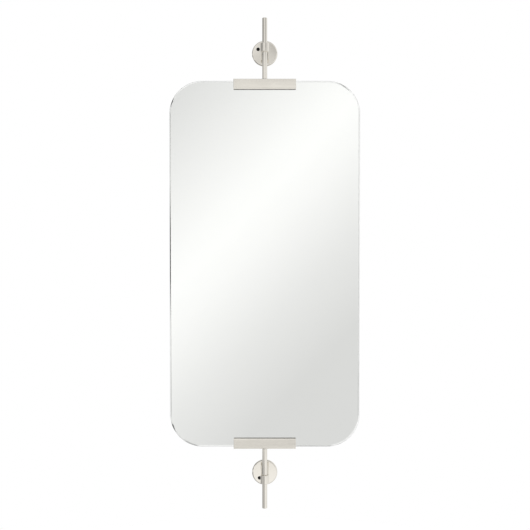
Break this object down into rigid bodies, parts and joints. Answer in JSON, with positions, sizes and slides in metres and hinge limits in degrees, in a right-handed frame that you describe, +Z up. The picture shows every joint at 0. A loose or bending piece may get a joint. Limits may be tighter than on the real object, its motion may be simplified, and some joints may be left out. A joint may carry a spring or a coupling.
{
  "type": "pivot wall mirror",
  "caption": "Frameless upright mirror with round corners, held by nickel clamp bars that swivel on rods nipped in stand-off wall brackets.",
  "frame": {"origin": "on the wall plane, midway between the middles of the two wall brackets", "axes": "+Z up along the rods, +Y out of the mirror's back into the wall, +X to the right as seen from the front; the glass faces -Y"},
  "size_m": [0.457, 0.0762, 1.182],
  "materials": {
    "polished_nickel": "polished nickel plate, warm, light wear",
    "satin_nickel": "nickel plate with a fine satin grain along the bar",
    "nickel_screw": "plated screw steel",
    "black_steel": "black oxide, slightly oily",
    "brass_pad": "plain soft brass",
    "plain_steel": "rolled stainless strip",
    "clear_glass": "clear float glass with ground and polished bevels",
    "silvering": "silver coat, painted behind",
    "painted_board": "thin hardboard, painted grey",
    "gasket_rubber": "smooth dark grey gasket",
    "bumper_rubber": "soft translucent dome",
    "white_plastic": "natural white acetal"
  },
  "bodies": {
    "brackets": {"upper_wall_plate": "polished_nickel", "lower_wall_plate": "polished_nickel", "upper_arm": "polished_nickel", "lower_arm": "polished_nickel", "upper_steady_screw": "black_steel", "lower_steady_screw": "black_steel", "upper_rod_screw": "nickel_screw", "lower_rod_screw": "nickel_screw", "rod_screw_pads": "brass_pad"},
    "rods": {"upper_rod": "polished_nickel", "lower_rod": "polished_nickel", "upper_thrust_washer": "plain_steel", "lower_thrust_washer": "plain_steel"},
    "mirror": {"mirror_glass": "clear_glass", "silver_coat": "silvering", "backing_panel": "painted_board", "wall_bumpers": "bumper_rubber", "upper_clamp_bar": "satin_nickel", "lower_clamp_bar": "satin_nickel", "upper_front_gasket": "gasket_rubber", "lower_front_gasket": "gasket_rubber", "upper_rear_gasket": "gasket_rubber", "lower_rear_gasket": "gasket_rubber", "upper_pressure_strip": "plain_steel", "lower_pressure_strip": "plain_steel", "upper_pinch_screws": "black_steel", "lower_pinch_screws": "black_steel", "upper_setting_blocks": "white_plastic", "lower_setting_blocks": "white_plastic", "upper_pivot_bush": "white_plastic", "lower_pivot_bush": "white_plastic"}
  },
  "joints": [
    {"name": "height_slide", "type": "slide", "parent": "brackets", "child": "rods", "axis": [0, 0, 1], "range_m": [-0.055, 0.055]},
    {"name": "mirror_swivel", "type": "hinge", "parent": "rods", "child": "mirror", "pos_m": [0, -0.066, 0], "axis": [0, 0, 1], "range_deg": [-16, 16]}
  ]
}
